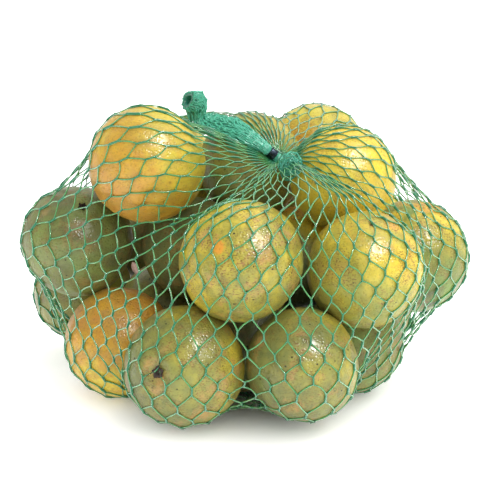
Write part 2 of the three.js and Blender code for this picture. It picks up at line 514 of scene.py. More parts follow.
@dataclass(frozen=True)
class PeelFinish:
    """Waxed citrus peel, grown rather than made: green turns yellow and orange in soft patches.

    Ripeness runs from 0, green, to 1, orange. Its lean to the right and up, as the viewer sees the fruit, is
    partly real ripening and partly painted light on the lit side.
    """

    ripeness: float
    ripeness_and_painted_light_lean: Span = (0.0, 0.0)
    patchiness: float = 0.3
    green: float = 0.2
    russet: float = 0.8
    cork: float = 0.3
    # Painted shade in part: dull darkens the whole peel, for its own duller tone and for shade on fruit deep
    # in the heap.
    dull: float = 0.0
    shine: float = 0.5
    marks: tuple[Mark, ...] = ()

    RIPENING = (
        (0.0, "#687048"),
        (0.25, "#848549"),
        (0.45, "#A39E4B"),
        (0.6, "#C3B341"),
        (0.75, "#EBD145"),
        (0.88, "#E2AE3C"),
        (1.0, "#D6983D"),
    )
    LEAF_GREEN = "#859D50"
    DULL_AND_SHADE_BROWN = "#3A331C"
    PIT_SHADE = "#3D4A1E"
    CLOUD = 24
    LEAFY_CLOUD = CLOUD / 1.3
    BLOTCH = 6
    FLECK = 1.3
    FLECK_SHAPE = (1.0, 1.0, 1.8)
    FLECK_FIELD = 13
    DOT = 3.6
    CORK_PATCH = 13
    PORE = 1.8
    PORE_DEPTH = 0.3
    LEAFY = (0.42, 0.62)
    FLECKED = (0.53, 0.64)
    IN_FIELD = (0.38, 0.58)
    IN_DOT = (0.2, 0.12)
    DOTS_KEPT = (0.6, 0.9)
    CORKY = (0.52, 0.66)
    IN_PORE = (0.05, 0.5)
    WAX = (0.23, 0.4)

    def ripening(self, tree: Tree, here: Socket, own: Socket, centre: np.ndarray, radius: float) -> Socket:
        """Colours the peel by how ripe each place is, with painted light from the lean and painted shade
        from the dulling.

        Args:
            tree: the node tree.
            here: coordinates in the bag, in millimetres.
            own: coordinates about the fruit's centre, in millimetres.
            centre: the fruit's centre.
            radius: the fruit's radius.

        Returns:
            The colour's output.
        """
        # Painted light in part: the lean ripens and brightens the side of the fruit that faces the light.
        right, up = self.ripeness_and_painted_light_lean
        _, across, above = CAMERA.sight(centre)
        ripeness_and_painted_light_slope = (right * across + up * above) / radius
        side = add_node(tree, "ShaderNodeVectorMath", {0: own, 1: ripeness_and_painted_light_slope}, operation="DOT_PRODUCT")
        clouds = noise(tree, here, self.CLOUD, detail=3.0)
        blotches = noise(tree, here, self.BLOTCH, detail=4.0)
        wide = scaled(tree, clouds, 2 * self.patchiness, self.ripeness - 1.5 * self.patchiness)
        close = scaled(tree, blotches, self.patchiness, wide)
        ripe = scaled(tree, side.outputs["Value"], 1.0, close)
        ramp = add_node(tree, "ShaderNodeValToRGB", {"Fac": ripe})
        stops = ramp.color_ramp.elements
        while len(stops) < len(self.RIPENING):
            stops.new(0.5)
        for stop, (place, colour) in zip(stops, self.RIPENING):
            stop.position = place
            stop.color = linear(colour)
        leafy = noise(tree, here, self.LEAFY_CLOUD, detail=4.0, distortion=0.6)
        share = ranged(tree, leafy, self.LEAFY, (0.0, self.green))
        fresh = mixed(tree, share, ramp.outputs["Color"], linear(self.LEAF_GREEN))
        # Painted shade in part: the dulling darkens the peel towards brown, both duller tone and shade.
        return mixed(tree, self.dull, fresh, linear(self.DULL_AND_SHADE_BROWN))

    def flecked(self, tree: Tree, here: Socket, colour: Socket) -> Socket:
        """Adds rust-brown flecks, dark dots and pale corky scab to the peel.

        Args:
            tree: the node tree.
            here: coordinates in the bag, in millimetres.
            colour: the peel's colour so far.

        Returns:
            The colour's output.
        """
        flecks = noise(tree, stretched(tree, here, self.FLECK_SHAPE), self.FLECK)
        sharp = ranged(tree, flecks, self.FLECKED, (0.0, self.russet))
        field_share = ranged(tree, noise(tree, here, self.FLECK_FIELD), self.IN_FIELD)
        rusty = mixed(tree, scaled(tree, sharp, field_share), colour, linear(Blemish.RUST.value))
        dots = add_node(tree, "ShaderNodeTexVoronoi", {"Vector": here, "Scale": 1 / self.DOT})
        round_dot = ranged(tree, dots.outputs["Distance"], self.IN_DOT)
        lot = add_node(tree, "ShaderNodeSeparateColor", {0: dots.outputs["Color"]}).outputs[0]
        chosen = ranged(tree, lot, self.DOTS_KEPT, (0.0, self.russet))
        rusty = mixed(tree, scaled(tree, round_dot, chosen), rusty, linear(Blemish.SCAR.value))
        scabs = noise(tree, here, self.CORK_PATCH, detail=5.0, roughness=0.7)
        scab = ranged(tree, scabs, self.CORKY, (0.0, self.cork))
        return mixed(tree, scab, rusty, linear(Blemish.CORK.value))

    def marked(self, tree: Tree, here: Socket, own: Socket, colour: Socket, centre: np.ndarray,
               radius: float) -> Socket:
        """Adds the marks that belong to this one fruit, with ragged edges.

        Args:
            tree: the node tree.
            here: coordinates in the bag, in millimetres.
            own: coordinates about the fruit's centre, in millimetres.
            colour: the peel's colour so far.
            centre: the fruit's centre.
            radius: the fruit's radius.

        Returns:
            The colour's output.
        """
        ragged = noise(tree, here, self.FLECK, detail=3.0)
        for mark in self.marks:
            spot = tuple(CAMERA.facing(centre, mark.right, mark.up) * radius)
            away = add_node(tree, "ShaderNodeVectorMath", {0: own, 1: spot}, operation="DISTANCE")
            frayed = scaled(tree, ragged, 0.8 * mark.size, away.outputs["Value"])
            share = ranged(tree, frayed, (1.4 * mark.size, mark.size), (0.0, mark.strength))
            colour = mixed(tree, share, colour, linear(mark.kind.value))
        return colour

    def material(self, name: str, centre: np.ndarray, radius: float) -> bpy.types.Material:
        """Makes this fruit's peel.

        Args:
            name: the fruit's name.
            centre: the fruit's centre.
            radius: the fruit's radius.

        Returns:
            The material.
        """
        material, tree, shader = new_material(f"waxed_citrus_peel_{name}")
        # Oil glands pit a waxy skin, so highlights break up into grains.
        here = millimetres(tree)
        own = add_node(tree, "ShaderNodeVectorMath", {0: here, 1: centre}, operation="SUBTRACT").outputs[0]
        colour = self.ripening(tree, here, own, centre, radius)
        colour = self.flecked(tree, here, colour)
        colour = self.marked(tree, here, own, colour, centre, radius)
        # Oil glands are about 1 mm apart, and drawn at almost twice that to show at this size.
        glands = add_node(tree, "ShaderNodeTexVoronoi", {"Vector": here, "Scale": 1 / self.PORE})
        pit = ranged(tree, glands.outputs["Distance"], self.IN_PORE)
        shade = ranged(tree, pit, target=(0.2, 0.0))
        bump = add_node(tree, "ShaderNodeBump", {
            "Height": pit, "Strength": 0.6, "Distance": self.PORE_DEPTH * MM})
        feed(tree, shader, {
            "Base Color": mixed(tree, shade, colour, linear(self.PIT_SHADE)),
            "Roughness": ranged(tree, noise(tree, here, self.BLOTCH), target=self.WAX),
            "Normal": bump.outputs["Normal"], "IOR": 1.45, "Specular IOR Level": self.shine})
        return material


@dataclass(frozen=True)
class StemFinish:
    """Dried stem wood, torn when the fruit was picked: a dull dark brown with a fibrous grain."""

    dark: str = "#1B1511"
    fibre: str = "#43301F"
    grain: float = 0.8

    def material(self) -> bpy.types.Material:
        """Makes the dry stem's material.

        Returns:
            The material.
        """
        material, tree, shader = new_material("dried_stem_wood")
        # Torn fibres scatter what light they get, so the button reads as a dark matt star.
        fibres = noise(tree, millimetres(tree), self.grain, detail=3.0)
        feed(tree, shader, {
            "Base Color": mixed(tree, fibres, linear(self.dark), linear(self.fibre)), "Roughness": 0.8})
        return material


@dataclass
class Orange:
    """One fruit of the heap, with its lumps, stem hollow and dried stem button."""

    name: str
    berth: Point
    diameter: float
    peel: PeelFinish
    stem: Span | None = None
    seen: bool = True
    centre: np.ndarray = field(init=False)

    GIRTH = 1.012
    FLATNESS = 0.976
    SEEN_ROUNDS = 6
    HIDDEN_ROUNDS = 5
    LUMP = 26
    LUMP_HEIGHT = 1.1
    DIMPLE = 4
    DIMPLE_HEIGHT = 0.22
    HOLLOW_REACH = 11
    HOLLOW_DEPTH = 2.2
    BLOSSOM_SHARE = 0.4
    STEM_STRAY = 0.8
    BUTTON = 2.6
    BUTTON_HEIGHT = 0.9
    BUTTON_SINK = 0.8
    BUTTON_POINTS = 20
    LOBES = 5
    LOBE_REACH = 0.28
    BUTTON_STEPS = ((0.9, -0.3), (0.35, 0.7))
    BUTTON_EDGE = 0.15

    def __post_init__(self) -> None:
        """Starts the fruit at its berth."""
        self.centre = np.array(self.berth, float)

    @property
    def radius(self) -> float:
        """Half the fruit's diameter."""
        return self.diameter / 2

    def stem_direction(self) -> np.ndarray:
        """Finds the way that the stem end points: as it shows, or else away from the viewer.

        Returns:
            The unit direction from the fruit's centre.
        """
        if self.stem:
            return CAMERA.facing(self.centre, *self.stem)
        draw = np.random.default_rng(len(self.name) + int(self.diameter * 7))
        away = unit(self.centre - CAMERA.place())
        return unit(away + self.STEM_STRAY * draw.standard_normal(3))

    def body(self) -> bpy.types.Object:
        """Models the fruit with its stem up: a flattened ball, dented at both ends.

        Returns:
            The fruit about the origin.
        """
        start_piece()
        rounds = self.SEEN_ROUNDS if self.seen else self.HIDDEN_ROUNDS
        bpy.ops.mesh.primitive_ico_sphere_add(subdivisions=rounds, radius=self.radius * MM)
        obj = bpy.context.object
        edit_all()
        bpy.ops.transform.resize(value=(self.GIRTH, self.GIRTH, self.FLATNESS))
        for end, depth in ((1, self.HOLLOW_DEPTH), (-1, self.BLOSSOM_SHARE * self.HOLLOW_DEPTH)):
            self.select_end(obj, end)
            bpy.ops.transform.translate(
                value=(0, 0, -end * depth * MM), use_proportional_edit=True,
                proportional_edit_falloff="SMOOTH", proportional_size=self.HOLLOW_REACH * MM)
        bpy.ops.object.mode_set(mode="OBJECT")
        return obj

    def select_end(self, obj: bpy.types.Object, end: int) -> None:
        """Selects the tip at one end of the fruit.

        Args:
            obj: the fruit, in edit mode.
            end: 1 for the stem's end, -1 for the other.
        """
        bpy.ops.mesh.select_all(action="DESELECT")
        bpy.ops.object.mode_set(mode="OBJECT")
        tip = max(obj.data.vertices, key=lambda v: end * v.co.z)
        tip.select = True
        bpy.ops.object.mode_set(mode="EDIT")
        bpy.ops.mesh.select_mode(type="VERT")

    def button(self) -> bpy.types.Object:
        """Models the stem button: a small lobed disc with a raised middle, in the stem hollow.

        Returns:
            The button, on the fruit with its stem up.
        """
        start_piece()
        foot = self.radius * self.FLATNESS - self.BUTTON_SINK * self.HOLLOW_DEPTH
        bpy.ops.mesh.primitive_circle_add(
            vertices=self.BUTTON_POINTS, radius=self.BUTTON * MM, fill_type="NGON",
            location=(0, 0, foot * MM))
        obj = bpy.context.object
        bpy.ops.object.transform_apply(location=True)
        for vertex in obj.data.vertices:
            lobe = 1 + self.LOBE_REACH * math.cos(self.LOBES * math.atan2(vertex.co.y, vertex.co.x))
            vertex.co.x *= lobe
            vertex.co.y *= lobe
        edit_all()
        bpy.ops.mesh.extrude_region_move(TRANSFORM_OT_translate={"value": (0, 0, self.BUTTON_HEIGHT * MM)})
        for inward, rise in self.BUTTON_STEPS:
            bpy.ops.mesh.inset(thickness=inward * MM, depth=rise * MM)
        face_outward()
        apply_modifier(obj, "BEVEL", width=self.BUTTON_EDGE * MM, segments=2)
        return obj

    def build(self, stem: bpy.types.Material, clouds: dict[str, bpy.types.Texture]) -> bpy.types.Object:
        """Models the fruit in its berth and dresses it.

        Args:
            stem: the dried stem's material.
            clouds: the soft noises that give the lumps, by name.

        Returns:
            The finished fruit.
        """
        obj = self.body()
        obj.data.materials.append(self.peel.material(self.name, self.centre, self.radius))
        cap = self.button()
        cap.data.materials.append(stem)
        join(obj, cap)
        obj.name = f"orange_{self.name}"
        obj.rotation_mode = "QUATERNION"
        obj.rotation_quaternion = Vector(UP).rotation_difference(Vector(self.stem_direction()))
        obj.location = Vector(self.centre) * MM
        settle_place(obj)
        for name, height in (("lumps", self.LUMP_HEIGHT), ("dimples", self.DIMPLE_HEIGHT)):
            apply_modifier(obj, "DISPLACE", texture=clouds[name], texture_coords="GLOBAL",
                           strength=2 * height * MM, mid_level=0.5)
        shade_smooth(obj)
        hand_over(obj, BAG_NODE)
        return obj


def heap_of_oranges() -> list[Orange]:
    """Lists the fruit by berth, lowest layer first, with the colours that each one shows.

    Returns:
        The fruit, each at its berth.
    """
    scar, smudge, rust = Blemish.SCAR, Blemish.SMUDGE, Blemish.RUST
    dots = (Mark(-0.35, -0.27, 2.6, smudge, 0.6), Mark(-0.1, -0.2, 0.9, scar), Mark(0.35, 0.68, 1.0, scar))
    blush = (Mark(-0.37, 0.22, 5.0, Blemish.BLUSH), Mark(-0.28, -0.3, 3.5, rust, 0.35))
    bruises = (Mark(0.39, -0.3, 1.6, smudge, 0.7), Mark(0.37, -0.04, 1.0, smudge, 0.6))
    return [
        Orange("front_left", (-34, -84, 37), 71, PeelFinish(
            0.38, (0.2, 0.04), 0.36, cork=0.65, dull=0.1, marks=dots), stem=(-0.45, -0.1)),
        Orange("front_right", (36, -86, 39), 67, PeelFinish(
            0.36, (0.14, 0.08), 0.36, russet=0.9, cork=0.7, dull=0.12)),
        Orange("low_left", (-77, -29, 34), 68, PeelFinish(
            0.92, (0.05, 0.12), 0.24, russet=0.25, cork=0.6, dull=0.08)),
        Orange("low_right", (70, -24, 33), 65, PeelFinish(0.15, (0.15, -0.1), green=0.85, dull=0.1)),
        Orange("low_left_back", (-111, 61, 46), 69, PeelFinish(0.3)),
        Orange("low_middle", (-1, -22, 34), 68, PeelFinish(0.05)),
        Orange("low_back_left", (-50, 31, 39), 68, PeelFinish(0.3), seen=False),
        Orange("low_back_right", (19, 64, 35), 68, PeelFinish(0.5), seen=False),
        Orange("low_right_back", (82, 41, 34), 66, PeelFinish(0.35), seen=False),
        Orange("centre", (0, -81, 100), 72, PeelFinish(
            0.58, (-0.08, 0.08), 0.36, russet=1.0, cork=0.7, dull=0.2, marks=blush)),
        Orange("right", (74, -60, 89), 70, PeelFinish(
            0.64, (0.08, 0.2), 0.24, green=0.5, dull=0.1, marks=(Mark(0.085, 0.74, 1.4, rust),))),
        Orange("far_right", (109, 1, 83), 72, PeelFinish(0.4, (0.0, 0.5), 0.2, green=1.0, dull=0.1)),
        Orange("left", (-105, -9, 96), 70, PeelFinish(
            0.1, (-0.06, -0.05), 0.2, green=0.6, dull=0.12), stem=(0.11, 0.65)),
        Orange("mid_left", (-32, -5, 90), 65, PeelFinish(0.1, dull=0.3, shine=0.0)),
        Orange("mid_right", (38, 14, 80), 66, PeelFinish(0.2, (0.2, 0.8))),
        Orange("back_low_left", (-62, 94, 69), 62, PeelFinish(0.15, dull=0.4, shine=0.2), seen=False),
        Orange("back_left", (-52, 58, 131), 68, PeelFinish(0.7), seen=False),
        Orange("back_middle", (6, 86, 98), 68, PeelFinish(0.3), seen=False),
        Orange("back_right", (81, 83, 86), 68, PeelFinish(0.65), seen=False),
        Orange("upper_left", (-58, -30, 148), 71, PeelFinish(
            0.85, (-0.1, -0.08), 0.16, russet=0.25, dull=0.2, marks=bruises)),
        Orange("upper_right", (63, -11, 137), 66, PeelFinish(
            0.75, (0.02, 0.04), 0.1, green=0.0, russet=0.45, marks=(Mark(0.14, -0.6, 1.8, rust),))),
        Orange("top_back", (6, 22, 140), 68, PeelFinish(0.4, (0.08, 0.22), green=0.4, dull=0.14)),
        Orange("top_far", (51, 70, 143), 64, PeelFinish(0.8, (-0.1, -0.14), 0.2, russet=0.5)),
    ]


@dataclass
class Heap:
    """The oranges, settled against each other and the floor.

    Two of the hidden ones, low_back_left and back_low_left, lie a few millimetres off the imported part's
    berths, where they close gaps that the backdrop showed through.
    """

    oranges: list[Orange] = field(default_factory=heap_of_oranges)
    rounds: int = 60

    def settle(self) -> None:
        """Pushes overlapping fruit apart, and up off the net that lies on the floor."""
        for _ in range(self.rounds):
            for i, one in enumerate(self.oranges):
                for other in self.oranges[:i]:
                    apart = one.centre - other.centre
                    gap = np.linalg.norm(apart)
                    overlap = one.radius + other.radius - gap
                    if overlap > 0:
                        one.centre += apart / gap * overlap / 2
                        other.centre -= apart / gap * overlap / 2
                one.centre[2] = max(one.centre[2], one.radius + NET_THICKNESS)

    def build(self) -> BVHTree:
        """Models every fruit.

        Returns:
            The surface of all the fruit together, in metres, for the net to lie on.
        """
        clouds = {}
        for name, size in (("lumps", Orange.LUMP), ("dimples", Orange.DIMPLE)):
            clouds[name] = bpy.data.textures.new(f"peel_{name}", "CLOUDS")
            clouds[name].noise_scale = size * MM
        stem = StemFinish().material()
        points, faces = [], []
        for orange in self.oranges:
            mesh = orange.build(stem, clouds).data
            first = len(points)
            points.extend(v.co.copy() for v in mesh.vertices)
            faces.extend([first + i for i in face.vertices] for face in mesh.polygons)
        return BVHTree.FromPolygons(points, faces)


@dataclass(frozen=True)
class NetPlastic:
    """Extruded polyethylene: half-clear sea-green strands, shiny as they leave the die, denser at welds."""

    name: str = "extruded_sea_green_polyethylene"
    weld: str = "#359066"
    strand: str = "#5DA860"
    mottle: float = 5
    mottled: float = 0.5
    dense: Span = (0.1, 1.2)
    roughness: float = 0.22
    clearness: float = 0.2

    def material(self) -> bpy.types.Material:
        """Makes the net's plastic.

        Returns:
            The material.
        """
        material, tree, shader = new_material(self.name)
        # Strands let some light through, so they turn greener over yellow fruit and paler over white.
        welds = add_node(tree, "ShaderNodeAttribute", attribute_name="weld").outputs["Fac"]
        share = scaled(tree, noise(tree, millimetres(tree), self.mottle), self.mottled, welds)
        green = mixed(tree, ranged(tree, share, self.dense), linear(self.strand), linear(self.weld))
        feed(tree, shader, {
            "Base Color": green, "Roughness": self.roughness, "IOR": 1.5,
            "Transmission Weight": self.clearness})
        return material


def lay_tubes(name: str, paths: np.ndarray, radii: np.ndarray, normals: np.ndarray, weld: np.ndarray,
              sides: int = 6) -> bpy.types.Object:
    """Sweeps many strands as one mesh.

    Args:
        name: the piece's name.
        paths: each strand's points, by strand and place along it.
        radii: the strand's radius at each point.
        normals: a direction off the net's surface at each point.
        weld: how near each point is to a weld, from 0 to 1.
        sides: how many sides a strand has.

    Returns:
        The strands, capped at their ends.
    """
    count, length, _ = paths.shape
    along = unit(np.gradient(paths, axis=1))
    side = unit(np.cross(along, normals))
    over = np.cross(side, along)
    angle = 2 * np.pi * np.arange(sides) / sides
    ring = (np.cos(angle)[:, None] * side[:, :, None, :] + np.sin(angle)[:, None] * over[:, :, None, :])
    points = (paths[:, :, None, :] + radii[:, :, None, None] * ring).reshape(-1, 3)
    number = np.arange(count * length * sides).reshape(count, length, sides)
    turned = np.roll(number, -1, axis=2)
    quads = np.stack([number[:, :-1], turned[:, :-1], turned[:, 1:], number[:, 1:]], axis=-1).reshape(-1, 4)
    faces = quads.tolist() + number[:, 0, ::-1].tolist() + number[:, -1].tolist()
    obj = mesh_piece(name, points, faces)
    attribute = obj.data.attributes.new("weld", "FLOAT", "POINT")
    attribute.data.foreach_set("value", np.repeat(weld.reshape(-1), sides).astype(np.float32))
    return obj


@dataclass
class Gather:
    """Where the net is drawn together: a ring of strands in a plane across an axis."""

    centre: np.ndarray
    axis: np.ndarray
    radius: float = 1.0

    def spread(self) -> tuple[np.ndarray, np.ndarray]:
        """Gives two directions across the axis: to the right, and away from the viewer."""
        side = unit(np.cross([0.0, 1.0, 0.0], self.axis))
        return side, np.cross(self.axis, side)

    def ring(self, angles: np.ndarray) -> np.ndarray:
        """Gives the ring's points at angles about the axis."""
        side, over = self.spread()
        return self.centre + self.radius * (np.cos(angles)[:, None] * side + np.sin(angles)[:, None] * over)


NECK_ANCHOR = np.array([23.0, -9.0, 149.0])
CLIP_CENTRE = np.array([19.0, -10.0, 152.5])
TAIL_PATH = np.array([
    [12.5, -9.5, 157.5],
    [5, -8, 162],
    [-1, -5.5, 165],
    [-8, -0.5, 167],
    [-15.5, 5.5, 168],
    [-22.5, 9, 168.5],
    [-27, 10.5, 170.5],
    [-29, 10.5, 175],
    [-29, 10, 179],
    [-30, 8.5, 182.5],
    [-34.5, 5.5, 184.5],
])
NECK_AXIS = unit(TAIL_PATH[0] - NECK_ANCHOR)
FOOT_ANCHOR = np.array([-18.0, 42.0, 0.7])


@dataclass
class NetBag:
    """The net: two families of strands, welded where they cross, pulled taut over the fruit by its neck."""

    columns: int = 54
    rows: int = 29
    strand: float = 9.3
    knuckle: float = 1.9
    radius: float = 0.47
    neck: Gather = field(default_factory=lambda: Gather(NECK_ANCHOR, NECK_AXIS, 3.2))
    foot: Gather = field(default_factory=lambda: Gather(FOOT_ANCHOR, UP, 8.0))
    loose: Point = (155, 130, 100)
    loose_height: float = 92
    steps: int = 1500
    pace: float = 0.55
    drawing_in: float = 0.35
    unevenness: float = 0.06
    knuckle_unevenness: float = 0.1
    slack_push: float = 0.15
    slack_length: float = 0.9
    slack_rows: int = 6
    fan_rows: int = 7
    fan_hold: float = 0.9
    fan_axis: Point = (0.0, -1.2, 1.0)
    folds: tuple[Span, ...] = ((30, 0.85), (-50, 0.45))
    fold_width: float = 36
    sag_rows: int = 12
    sag: float = 0.004
    opening: float = 0.6
    widest: float = 5.5
    stiffness: float = 0.5
    clearance: float = 0.15
    grip: float = 0.1
    cling: float = 2.5
    cling_reach: float = 12
    floor_share: float = 1.6
    hug: float = 0.95
    lift: float = 0.35
    overlap: float = 0.7
    bow: float = 0.5
    neck_slimness: float = 0.28
    slim_rows: int = 6
    wobble: float = 0.08
    span_share: float = 0.9
    weld_swell: float = 0.35
    spans: int = 4
    seed: int = 7
    upper: np.ndarray = field(init=False)
    lower: np.ndarray = field(init=False)
    angles: np.ndarray = field(init=False)

    def loosen(self) -> None:
        """Starts the net as a loose round bag, each weld a pair of points, upper and lower."""
        row = np.arange(self.rows + 1)[:, None]
        column = np.arange(self.columns)[None, :]
        self.angles = 2 * np.pi * (column + 0.5 * row) / self.columns
        halves = []
        for half in (-0.5, 0.5):
            share = np.clip((row + half * self.knuckle / (self.strand + self.knuckle)) / self.rows, 0, 1)
            wide, tall = np.sin(np.pi * share), np.cos(np.pi * share) + 0 * self.angles
            halves.append(np.stack([
                self.loose[0] * wide * np.cos(self.angles),
                self.loose[1] * wide * np.sin(self.angles),
                self.loose_height + self.loose[2] * tall], axis=-1))
        self.upper, self.lower = halves

    def pull(self, start: np.ndarray, end: np.ndarray, rest: np.ndarray, push: np.ndarray) -> np.ndarray:
        """Finds how far a strand draws its start towards its end.

        Args:
            start: where the strands start.
            end: where they end.
            rest: their lengths when taut.
            push: how firmly a slack strand holds its ends apart.

        Returns:
            The start's move. The end's is the opposite.
        """
        apart = end - start
        length = np.linalg.norm(apart, axis=-1) + TINY
        taut = length > rest
        firm = np.where(taut, 1.0, push)
        goal = np.where(taut, rest, rest * self.slack_length)
        return apart * (0.5 * firm * (length - goal) / length)[..., None]

    def tugs(self, rests: tuple[np.ndarray, ...], push: np.ndarray) -> tuple[np.ndarray, np.ndarray]:
        """Adds up how the strands and the welds move the net's points in one step.

        Args:
            rests: the taut lengths of strands to the right, of strands to the left and of welds.
            push: how firmly a slack strand holds its ends apart, by row.

        Returns:
            The moves of the upper points and of the lower ones.
        """
        right, left, weld = rests
        up_move, low_move = np.zeros_like(self.upper), np.zeros_like(self.lower)
        move = self.pull(self.lower[:-1], self.upper[1:], right, push)
        low_move[:-1] += move
        up_move[1:] -= move
        move = self.pull(self.lower[:-1], np.roll(self.upper[1:], 1, axis=1), left, push)
        low_move[:-1] += move
        up_move[1:] -= np.roll(move, -1, axis=1)
        apart = self.lower - self.upper
        length = np.linalg.norm(apart, axis=-1) + TINY
        move = apart * (0.5 * (length - weld) / length)[..., None]
        up_move += move
        low_move -= move
        return up_move, low_move

    def rest_on(self, points: np.ndarray, before: np.ndarray, heap: Heap) -> None:
        """Keeps the net's points out of the fruit and the floor, with some grip on the peel.

        Args:
            points: the points, which are moved.
            before: where they were a step ago.
            heap: the fruit.
        """
        clear = self.radius + self.clearance
        for orange in heap.oranges:
            reach = orange.radius + clear
            out = points - orange.centre
            gap = np.linalg.norm(out, axis=-1)
            inside = gap < reach
            if not inside.any():
                continue
            normal = out[inside] / gap[inside][:, None]
            moved = points[inside] - before[inside]
            slid = moved - normal * (moved * normal).sum(-1, keepdims=True)
            held = self.grip * (reach - gap[inside]) / (np.linalg.norm(slid, axis=-1) + TINY)
            kept = points[inside] - slid * np.minimum(1.0, held)[:, None]
            points[inside] = orange.centre + reach * unit(kept - orange.centre)
        points[..., 2] = np.maximum(points[..., 2], clear)

    def fan_turns(self) -> np.ndarray:
        """Finds the strands' angles about the clip: even, but drawn together at the folds beside the tuft.

        Returns:
            The angle at each weld, in radians.
        """
        turns = self.angles.copy()
        for fold, pull in self.folds:
            away = (self.angles - math.radians(fold) + np.pi) % (2 * np.pi) - np.pi
            turns -= pull * away * np.exp(-(away / math.radians(self.fold_width)) ** 2)
        return turns

    def spread_fan(self, points: np.ndarray) -> None:
        """Keeps the first rows under the clip spread round it, as the long thin meshes are.

        Args:
            points: the upper or lower points of the welds, which are moved.
        """
        axis = unit(np.array(self.fan_axis))
        side, over = Gather(self.neck.centre, axis).spread()
        turns = self.fan_turns()
        for row in range(self.fan_rows):
            hold = self.fan_hold * (1 - row / self.fan_rows)
            away = points[row] - self.neck.centre
            out = away - (away @ axis)[:, None] * axis
            reach = np.linalg.norm(out, axis=-1, keepdims=True)
            turn = turns[row][:, None]
            points[row] += hold * (reach * (np.cos(turn) * side + np.sin(turn) * over) - out)

    def open_meshes(self, points: np.ndarray) -> None:
        """Pushes the neighbours in a row apart where their mesh has shut, as stiff strands do.

        Args:
            points: the upper or lower points of the welds, which are moved.
        """
        row = np.arange(self.rows + 1)
        least = np.minimum(self.opening * np.minimum(row, self.rows - row), self.widest)[:, None, None]
        east = np.roll(points, -1, axis=1) - points
        wide = np.linalg.norm(east, axis=-1, keepdims=True) + TINY
        move = east * (0.5 * self.stiffness * np.maximum(0.0, least - wide) / wide)
        points += np.roll(move, 1, axis=1) - move

    def draw_taut(self, heap: Heap) -> None:
        """Draws the loose net in at its neck and foot until its strands are taut over the fruit.

        Args:
            heap: the settled fruit.
        """
        draw = np.random.default_rng(self.seed)
        shape = (self.rows, self.columns)
        right = self.strand * (1 + self.unevenness * draw.standard_normal(shape))
        left = self.strand * (1 + self.unevenness * draw.standard_normal(shape))
        weld_draw = draw.standard_normal((self.rows + 1, self.columns))
        weld = self.knuckle * (1 + self.knuckle_unevenness * weld_draw)
        firm_rows = np.clip((np.arange(self.rows) - self.slack_rows) / self.slack_rows, 0, 1)
        push = firm_rows[:, None] * self.slack_push
        neck, foot = self.neck.ring(self.fan_turns()[0]), self.foot.ring(self.angles[-1])
        first, last = self.upper[0].copy(), self.lower[-1].copy()
        for step in range(self.steps):
            up_move, low_move = self.tugs((right, left, weld), push)
            share = min(1.0, step / (self.drawing_in * self.steps))
            for points, moves in ((self.upper, up_move), (self.lower, low_move)):
                before = points.copy()
                points += self.pace * moves
                points[1:self.sag_rows, :, 2] -= self.sag
                self.open_meshes(points)
                self.spread_fan(points)
                if points is self.lower:
                    points[-1] = last * (1 - share) + foot * share
                self.rest_on(points, before, heap)
            self.upper[0] = first * (1 - share) + neck * share

    def normals(self) -> np.ndarray:
        """Finds the direction off the net at each weld.

        Returns:
            Unit directions, by row and column.
        """
        middle = (self.upper + self.lower) / 2
        east = np.roll(middle, -1, axis=1) - np.roll(middle, 1, axis=1)
        below = np.vstack([(middle[1:] + np.roll(middle[1:], 1, axis=1)) / 2, middle[-1:]])
        above = np.vstack([middle[:1], (middle[:-1] + np.roll(middle[:-1], -1, axis=1)) / 2])
        return unit(np.cross(below - above, east))

    def family(self, step: int, lift: float, draw: np.random.Generator) -> tuple[np.ndarray, ...]:
        """Follows one family's strands down the bag, from weld to weld.

        Args:
            step: how many columns the strand moves at each row, 0 or -1.
            lift: how far the strand stands off the net's middle at a weld.
            draw: the seeded numbers for the strands' slight bows.

        Returns:
            Points, normals and nearness to a weld, by strand and place along it.
        """
        normal = self.normals()
        points, offs, welds = [], [], []
        for row in range(self.rows + 1):
            take = (np.arange(self.columns) + step * row) % self.columns
            off = normal[row, take]
            for end in (self.upper[row, take], self.lower[row, take]):
                points.append(end + lift * off)
                offs.append(off)
                welds.append(1.0)
            if row == self.rows:
                break
            after = (take + step) % self.columns
            start, end = self.lower[row, take], self.upper[row + 1, after]
            next_off = normal[row + 1, after]
            bowed = unit(np.cross(end - start, off)) * self.bow * draw.standard_normal((self.columns, 1))
            for span in range(1, self.spans):
                share = span / self.spans
                arch = math.sin(math.pi * share)
                near = weld_nearness(share)
                middle = unit(off * (1 - share) + next_off * share)
                points.append(start * (1 - share) + end * share + arch * bowed + near * lift * middle)
                offs.append(middle)
                welds.append(near)
        weld = np.tile(np.array(welds), (self.columns, 1))
        return np.stack(points, axis=1), np.stack(offs, axis=1), weld

    def clear_of_fruit(self, paths: np.ndarray, offs: np.ndarray, gap: np.ndarray, fruit: BVHTree) -> None:
        """Moves strand points out of the floor and the lumpy peel, and draws close ones in to it.

        Args:
            paths: the points, which are moved.
            offs: the normals there, which are set to the peel's where a strand lies on it.
            gap: how far each point stays off the peel.
            fruit: the fruit's surface, in metres.
        """
        for i, j in np.ndindex(paths.shape[:2]):
            place, normal, _, _ = fruit.find_nearest(Vector(paths[i, j]) * MM, self.cling_reach * MM)
            if place is None:
                continue
            skin = np.array(place) / MM
            off = np.array(normal)
            stand = (paths[i, j] - skin) @ off - gap[i, j]
            if stand < self.cling:
                rise = self.cling * max(0.0, stand / self.cling) ** 3
                paths[i, j] = skin + (gap[i, j] + rise) * off
                offs[i, j] = off
        paths[..., 2] = np.maximum(paths[..., 2], self.floor_share * self.radius)

